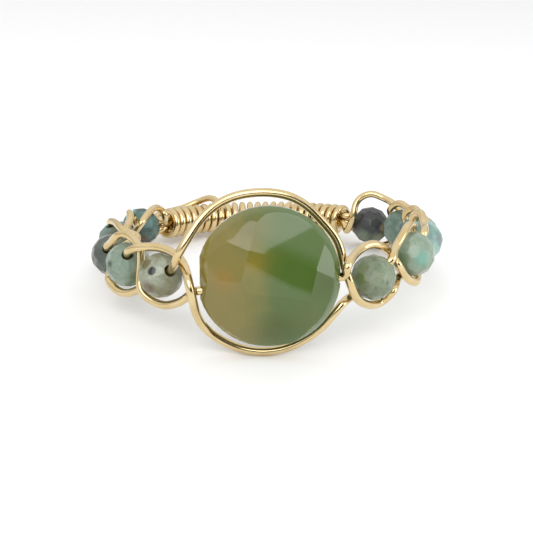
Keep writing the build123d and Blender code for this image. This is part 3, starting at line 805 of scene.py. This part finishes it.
def untwisted(line):
    """The direction of a line at each of its points, and two more square to it.

    The first sideways one starts from any upright one; the twist from each place to
    the next is measured against a turn without twist, summed, and taken off.
    """
    slanting = np.array([0.13, 0.31, 0.94])
    run = np.gradient(line, axis=0)
    run /= np.linalg.norm(run, axis=1)[:, None]
    across = slanting - (run @ slanting)[:, None] * run
    across /= np.linalg.norm(across, axis=1)[:, None]
    other = np.cross(run, across)
    share = (across[:-1] * run[1:]).sum(1) / (1 + (run[:-1] * run[1:]).sum(1))
    carried = across[:-1] - share[:, None] * (run[:-1] + run[1:])
    step = np.arctan2((carried * other[1:]).sum(1), (carried * across[1:]).sum(1))
    twist = np.concatenate([[0], np.cumsum(step)])[:, None]
    return (run, np.cos(twist) * across + np.sin(twist) * other,
            np.cos(twist) * other - np.sin(twist) * across)


# A rounded wire end in three rings: place before the end's middle and width (radii).
WIRE_END = np.array([[-1.0, 0.0], [-0.9, 0.45], [-0.5, 0.87]])


def drawn_wire(line, radius, name, material, sides=16):
    """A round tube along a line, with rounded ends, and as UV the distances round it and
    along it in millimetres."""
    run, across, other = untwisted(line)
    ends = WIRE_END * radius
    centres = np.concatenate([line[:1] + run[:1] * (ends[:, :1] + radius), line[1:-1],
                              line[-1:] - run[-1:] * (ends[::-1, :1] + radius)])
    radii = np.concatenate([ends[:, 1], np.full(len(line) - 2, radius), ends[::-1, 1]])
    across, other = (np.concatenate([way[:1].repeat(3, 0), way[1:-1], way[-1:].repeat(3, 0)])
                     for way in (across, other))
    turn = np.linspace(0, 2 * np.pi, sides, endpoint=False)[None, :, None]
    ring = np.cos(turn) * across[:, None] + np.sin(turn) * other[:, None]
    points = lay((centres[:, None] + ring * radii[:, None, None]).reshape(-1, 3))
    rows = len(centres)
    number = np.arange(rows * sides).reshape(rows, sides)
    onward = np.roll(number, -1, 1)
    faces = np.stack([number[:-1], onward[:-1], onward[1:], number[1:]], -1).reshape(-1, 4)
    mesh = smooth_mesh(name, points, faces, material)
    length = np.concatenate([[0], np.cumsum(np.linalg.norm(np.diff(centres, axis=0), axis=1))])
    v = length[:-1, None].repeat(sides, 1)
    v_next = length[1:, None].repeat(sides, 1)
    u = (np.arange(sides) / sides * 2 * np.pi * radius)[None].repeat(rows - 1, 0)
    u_next = u + 2 * np.pi * radius / sides
    flat = np.stack([np.stack([u, v], -1), np.stack([u_next, v], -1),
                     np.stack([u_next, v_next], -1), np.stack([u, v_next], -1)], 2)
    mesh.uv_layers.new(name="wire length").data.foreach_set("uv", flat.ravel())
    form = bmesh.new()
    form.from_mesh(mesh)
    bmesh.ops.remove_doubles(form, verts=form.verts, dist=TOUCHING)
    form.to_mesh(mesh)
    form.free()
    return shown(name, mesh)


# Polished gold wire: faint lines along it from the drawing die, a little uneven shine
# and slightly deeper gold in clouds, as worn wire has.
gold, tree, shader = new_material("polished pale gold wire")
along_wire = tree.nodes.new("ShaderNodeUVMap")
along_wire.uv_map = "wire length"
stretched = tree.nodes.new("ShaderNodeMapping")
stretched.inputs["Scale"].default_value = (9.0, 0.5, 1.0)
tree.links.new(along_wire.outputs["UV"], stretched.inputs["Vector"])
die_lines = noise(tree, stretched.outputs["Vector"], 1.0, 3.0)
deeper = ramp(tree, noise(tree, millimetres(tree), 0.9, 3.0), 0.3, 0.7)
golden = blend(tree, deeper, colour_of(223, 201, 156), colour_of(213, 189, 138))
tree.links.new(golden, shader.inputs["Base Color"])
tree.links.new(ramp(tree, die_lines, 0.3, 0.7, 0.12, 0.2), shader.inputs["Roughness"])
bumped(tree, die_lines, 0.12, shader)
shader.inputs["Metallic"].default_value = 1.0

for strand in STRANDS:
    wire = drawn_wire(smooth_line(wire_route(strand), 12), WIRE / 2, strand + "_wire", gold)
    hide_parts(strand)
    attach(wire, "root")

# Binding at the back: the same gold wire, wound tight round the three wires for half
# of the back, its end carried back over the last turns and pressed down.
BINDING_MARGIN = 0.36
BINDING_CORNERS = 6
# The end's corners: wire diameters back from the last turn, degrees round the bundle.
TAIL = ((0.6, 15), (2.6, 20), (5.0, 25), (7.0, 45), (8.3, 85), (8.8, 130))


def wound(angle, reach, round_turn):
    """Points at a distance and an angle round the bundle's middle line."""
    turn = np.radians(round_turn)[..., None]
    out = round_the_ring(angle)[1]
    return out * (BUNDLE_CIRCLE + reach * np.cos(turn)) + UP * reach * np.sin(turn)


def binding_route():
    """Corners of the winding, six to a turn, and then of its tail."""
    first = bundle_from + degrees_for(BINDING_MARGIN)
    last = bundle_to - degrees_for(BINDING_MARGIN)
    tight = (BINDING_WIRE + BINDING_AIR) * BUNDLE_CIRCLE / (BUNDLE_CIRCLE - BINDING_TURN)
    count = BINDING_CORNERS * int(math.radians(last - first) * BUNDLE_CIRCLE / tight)
    corner = BINDING_TURN / math.cos(math.pi / BINDING_CORNERS)
    at = np.arange(count + 1)
    turns = wound(first + (last - first) * at / count, corner, 360.0 / BINDING_CORNERS * at)
    over = corner + BINDING_WIRE + 2 * BINDING_AIR
    back, round_turn = np.array(TAIL, float).T
    tail = wound(last - np.degrees(back * BINDING_WIRE / BUNDLE_CIRCLE), over, round_turn)
    return np.concatenate([turns, tail])


binding = smooth_line(binding_route(), 6)
binding = drawn_wire(binding, BINDING_WIRE / 2, "back_binding_wire", gold, sides=14)
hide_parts("back_wrap")
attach(binding, "root")

# Floor: a plain sheet of white paper that the ring lies on, 3 m wide so that no edge
# of it shows.
FLOOR_HALF = 1.5
mesh = bpy.data.meshes.new("floor")
mesh.from_pydata([(-FLOOR_HALF, -FLOOR_HALF, 0), (FLOOR_HALF, -FLOOR_HALF, 0),
                  (FLOOR_HALF, FLOOR_HALF, 0), (-FLOOR_HALF, FLOOR_HALF, 0)], [], [(0, 1, 2, 3)])
floor = shown("floor", mesh)
paper, tree, shader = new_material("white paper floor")
fibre = noise(tree, millimetres(tree), 0.35, 4.0)
white = blend(tree, fibre, (0.92, 0.92, 0.92, 1.0), (0.95, 0.95, 0.95, 1.0))
tree.links.new(white, shader.inputs["Base Color"])
shader.inputs["Roughness"].default_value = 0.9
mesh.materials.append(paper)

# Studio: a white tent, paler above than below, with a dark opening to the right of
# the camera, a softbox in front and above, and a weak fill from the right.
world = bpy.data.worlds.new("white tent")
bpy.context.scene.world = world
world.use_nodes = True
sky = world.node_tree
backdrop = sky.nodes["Background"]
way = sky.nodes.new("ShaderNodeTexCoord")
height = sky.nodes.new("ShaderNodeSeparateXYZ")
sky.links.new(way.outputs["Generated"], height.inputs[0])
overhead = ramp(sky, height.outputs["Z"], -0.1, 0.7)
tent = blend(sky, overhead, (0.70, 0.70, 0.70, 1.0), (1.15, 1.15, 1.15, 1.0))
toward_opening = vector_maths(sky, "DOT_PRODUCT", way.outputs["Generated"], (0.42, -0.90, 0.14))
opening = ramp(sky, toward_opening, 0.84, 0.91)
sky.links.new(blend(sky, opening, tent, (0.04, 0.04, 0.04, 1.0)), backdrop.inputs["Color"])
backdrop.inputs["Strength"].default_value = 0.9


def aimed(thing, directions, place):
    """Turns an object to three directions (columns: right, up, back) at a place (m)."""
    matrix = np.eye(4)
    matrix[:3, :3], matrix[:3, 3] = directions, place
    thing.matrix_world = Matrix(matrix.tolist())


def soft_lamp(name, place, aim, width, height, power):
    """A rectangular lamp at a place (mm), facing a point (mm)."""
    lamp = bpy.data.lights.new(name, "AREA")
    lamp.shape = "RECTANGLE"
    lamp.size, lamp.size_y, lamp.energy = width * MM, height * MM, power
    back = np.array(place, float) - np.array(aim, float)
    back /= np.linalg.norm(back)
    side = np.cross(UP, back)
    side /= np.linalg.norm(side)
    aimed(shown(name, lamp), np.stack([side, np.cross(back, side), back], 1), np.array(place) * MM)


soft_lamp("front softbox", (-20, -152, 150), (0, -11, 3), 185, 150, 0.18)
soft_lamp("right fill", (190, -60, 70), (0, 0, 4), 120, 120, 0.12)

# Camera: in front of the ring, a little above its plane, as in the photograph. The
# focal length and the place of the ring's middle are in pixels of the picture.
PICTURE = 533
FOCAL = 885.0
MIDDLE_ACROSS, MIDDLE_DOWN = 268.6, 241.7
CAMERA_DISTANCE = 59.5
CAMERA_RISE = math.radians(11.7)
lens = bpy.data.cameras.new("camera")
lens.sensor_width = 36.0
lens.lens = FOCAL / PICTURE * 36.0
lens.shift_x = (PICTURE / 2 - MIDDLE_ACROSS) / PICTURE
lens.shift_y = (MIDDLE_DOWN - PICTURE / 2) / PICTURE
lens.clip_start, lens.clip_end = 0.001, 10.0
camera = shown("camera", lens)
back = np.array([0, -math.cos(CAMERA_RISE), math.sin(CAMERA_RISE)])
over = np.array([0, math.sin(CAMERA_RISE), math.cos(CAMERA_RISE)])
right = np.array([1.0, 0, 0])
aimed(camera, RING_TURN @ np.stack([right, over, back], 1), lay(back * CAMERA_DISTANCE))
bpy.context.scene.camera = camera
bpy.context.scene.view_settings.view_transform = "Standard"
